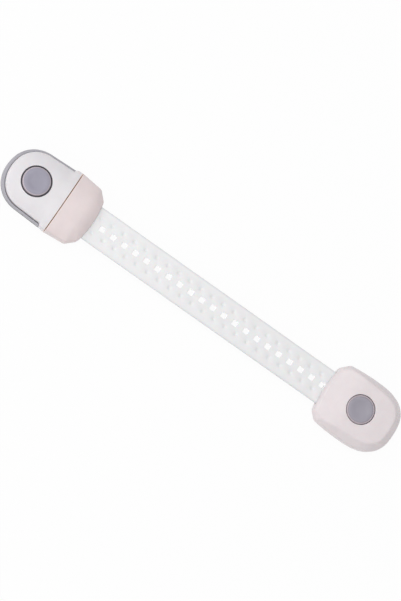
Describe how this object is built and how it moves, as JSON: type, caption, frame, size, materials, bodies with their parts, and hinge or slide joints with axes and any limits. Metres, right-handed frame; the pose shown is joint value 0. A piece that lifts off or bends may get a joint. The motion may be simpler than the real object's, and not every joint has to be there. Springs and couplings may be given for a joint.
{
  "type": "adhesive child safety strap lock",
  "caption": "Adhesive cupboard and drawer lock: a push-button latch head lifts off its stuck-down tray, and a holed strap runs into a stuck-down adjuster head with a length button.",
  "frame": {"origin": "on the axis of the latch head's button, on the bonding face of its adhesive pad", "axes": "+X along the strap from the latch head to the adjuster head, +Z out of the surface the lock is stuck to, +Y across the strap"},
  "size_m": [0.2096, 0.0314, 0.01],
  "materials": {
    "adhesive_foam": "white acrylic foam tape",
    "grey_plastic": "satin grey moulding",
    "inner_plastic": "plain white moulding, unseen inside the heads",
    "works_plastic": "dark grey moulding of the moving inner pieces",
    "tongue_plastic": "smooth white moulding with a cool cast",
    "cap_plastic": "smooth white moulding with a warm cast",
    "adjuster_plastic": "smooth white moulding with a warm cast",
    "button_a_plastic": "satin light grey",
    "button_b_plastic": "satin grey, dished",
    "strap_plastic": "translucent white flexible plastic",
    "leaf_plastic": "natural acetal",
    "spring_steel": "drawn spring wire",
    "screw_steel": "plated screws"
  },
  "bodies": {
    "base_a": {"adhesive_pad_a": "adhesive_foam", "base_tray": "grey_plastic"},
    "latch_head": {"latch_chassis": "inner_plastic", "latch_cover": "tongue_plastic", "strap_cap": "cap_plastic", "catch_clip": "spring_steel", "clip_keeper": "inner_plastic", "keeper_screw_1": "screw_steel", "keeper_screw_2": "screw_steel", "release_spring": "spring_steel", "strap": "strap_plastic"},
    "button_a": {"release_button": "button_a_plastic", "release_plunger": "works_plastic"},
    "adjuster": {"adhesive_pad_b": "adhesive_foam", "adjuster_base": "inner_plastic", "adjuster_cover": "adjuster_plastic", "strap_guide": "inner_plastic", "lock_leaf": "leaf_plastic", "adjuster_spring": "spring_steel", "housing_screw_1": "screw_steel", "housing_screw_2": "screw_steel", "housing_screw_3": "screw_steel", "housing_screw_4": "screw_steel"},
    "button_b": {"adjuster_button": "button_b_plastic", "press_yoke": "works_plastic"}
  },
  "joints": [
    {"name": "latch_lift", "type": "slide", "parent": "base_a", "child": "latch_head", "axis": [0, 0, 1], "range_m": [0, 0.012], "deforming": ["catch_clip"]},
    {"name": "button_a_press", "type": "slide", "parent": "latch_head", "child": "button_a", "axis": [0, 0, -1], "range_m": [0, 0.0012], "stiffness_N_per_m": 1500, "springref_m": -0.001, "deforming": ["release_spring"]},
    {"name": "strap_adjust", "type": "slide", "parent": "latch_head", "child": "adjuster", "axis": [1, 0, 0], "range_m": [-0.12, 0.012], "deforming": ["lock_leaf"]},
    {"name": "button_b_press", "type": "slide", "parent": "adjuster", "child": "button_b", "axis": [0, 0, -1], "range_m": [0, 0.001], "stiffness_N_per_m": 1500, "springref_m": -0.001, "deforming": ["adjuster_spring"]}
  ]
}
